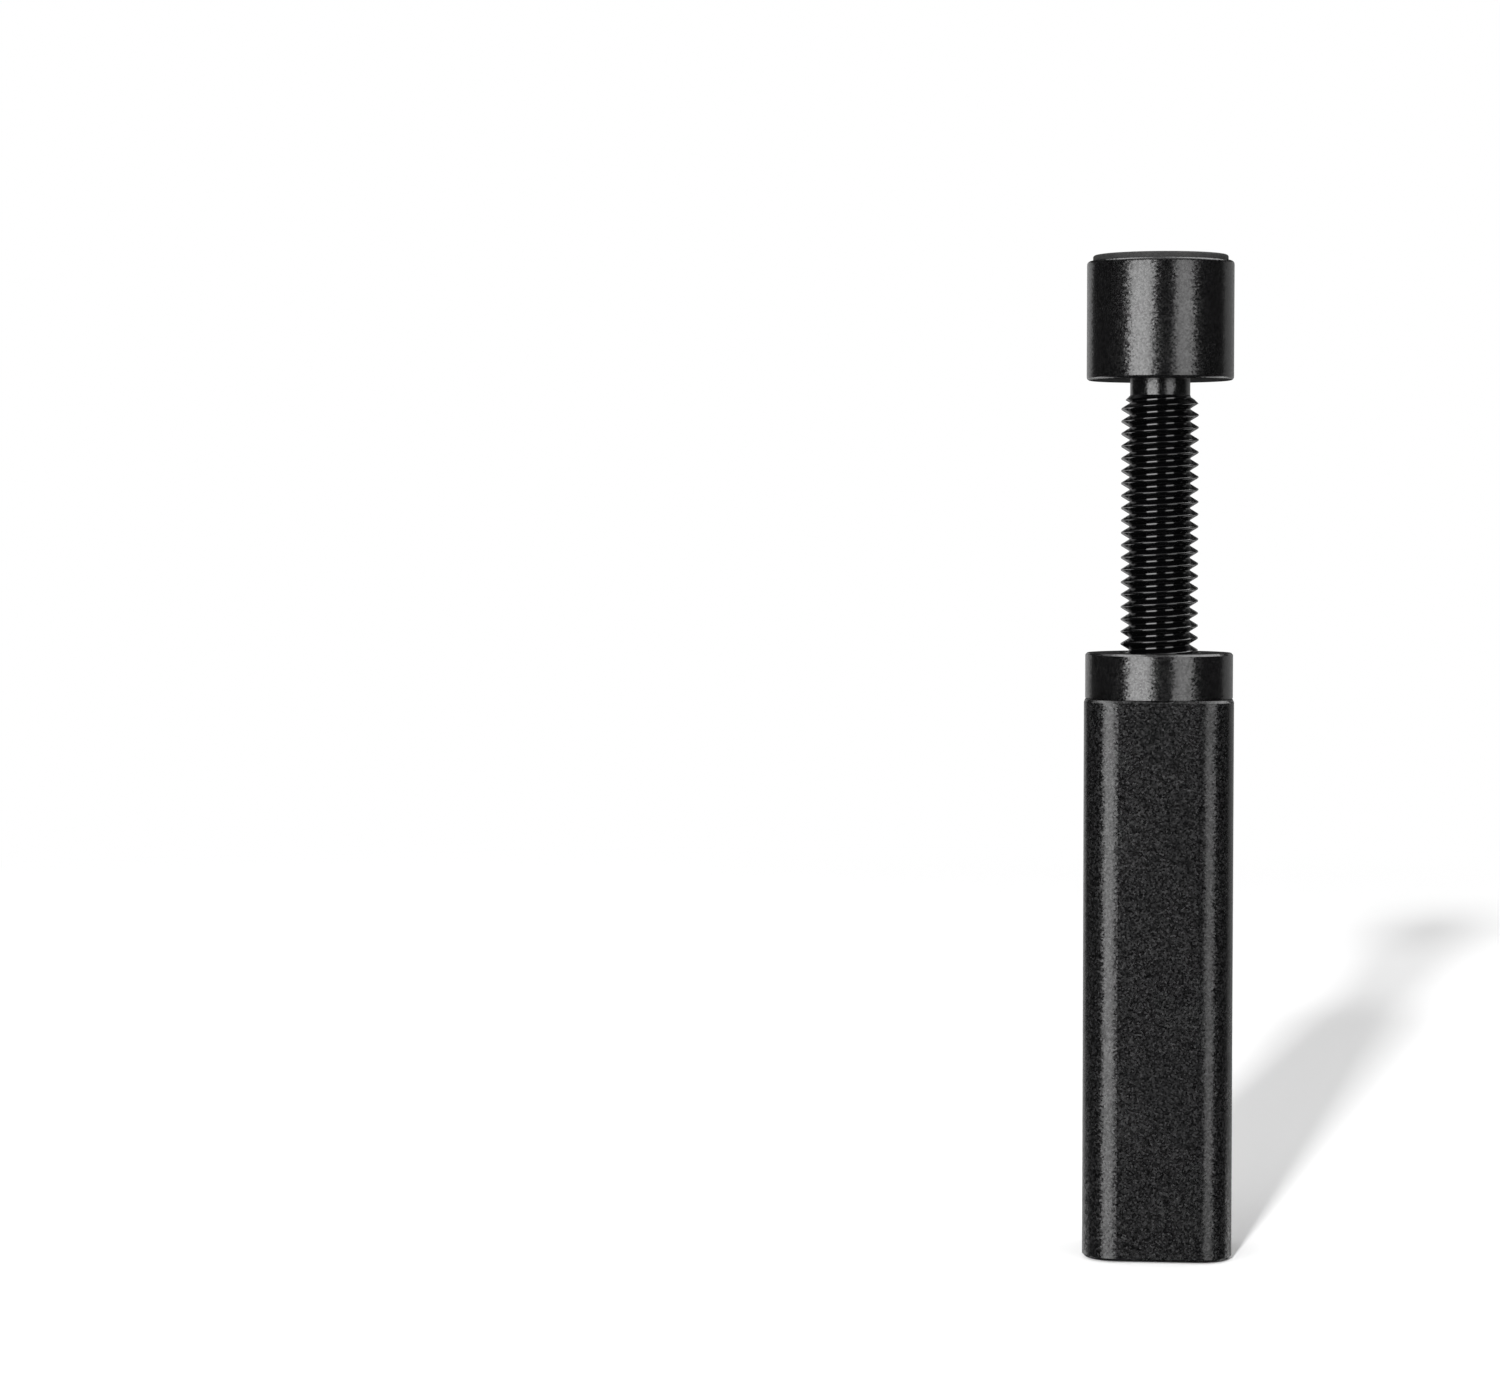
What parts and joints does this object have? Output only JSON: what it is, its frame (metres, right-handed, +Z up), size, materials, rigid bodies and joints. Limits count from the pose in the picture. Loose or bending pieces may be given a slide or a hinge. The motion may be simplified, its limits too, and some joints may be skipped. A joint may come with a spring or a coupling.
{
  "type": "graphics card support bracket",
  "caption": "Slim black screw jack that props up a sagging graphics card: square body on a magnetic base, threaded collar, and a turned screw whose round head lifts a rubber pad.",
  "frame": {"origin": "on the floor at the middle of the base", "axes": "+Z up along the screw's axis, X and Y square to the body's flat sides"},
  "size_m": [0.015, 0.015, 0.1011],
  "materials": {
    "blasted_black": "bead-blasted, black anodised",
    "turned_black": "turned and finely blasted, satin black anodised",
    "pad_rubber": "matt black rubber",
    "plated_magnet": "bright nickel plate"
  },
  "bodies": {
    "base": {"body_tube": "blasted_black", "threaded_collar": "turned_black", "base_magnet": "plated_magnet", "base_pad": "pad_rubber"},
    "pad": {"top_pad": "pad_rubber"},
    "screw": {"lift_screw": "turned_black"}
  },
  "joints": [
    {"name": "lift", "type": "slide", "parent": "base", "child": "pad", "axis": [0, 0, 1], "range_m": [-0.0272, 0.0178]},
    {"name": "turn", "type": "hinge", "parent": "pad", "child": "screw", "pos_m": [0, 0, 0.0885], "axis": [0, 0, 1], "range_deg": [-7833.6, 5126.4]}
  ],
  "couplings": [
    {"joint": "lift", "follows": "turn", "m_per_rad": 0.00019894}
  ]
}
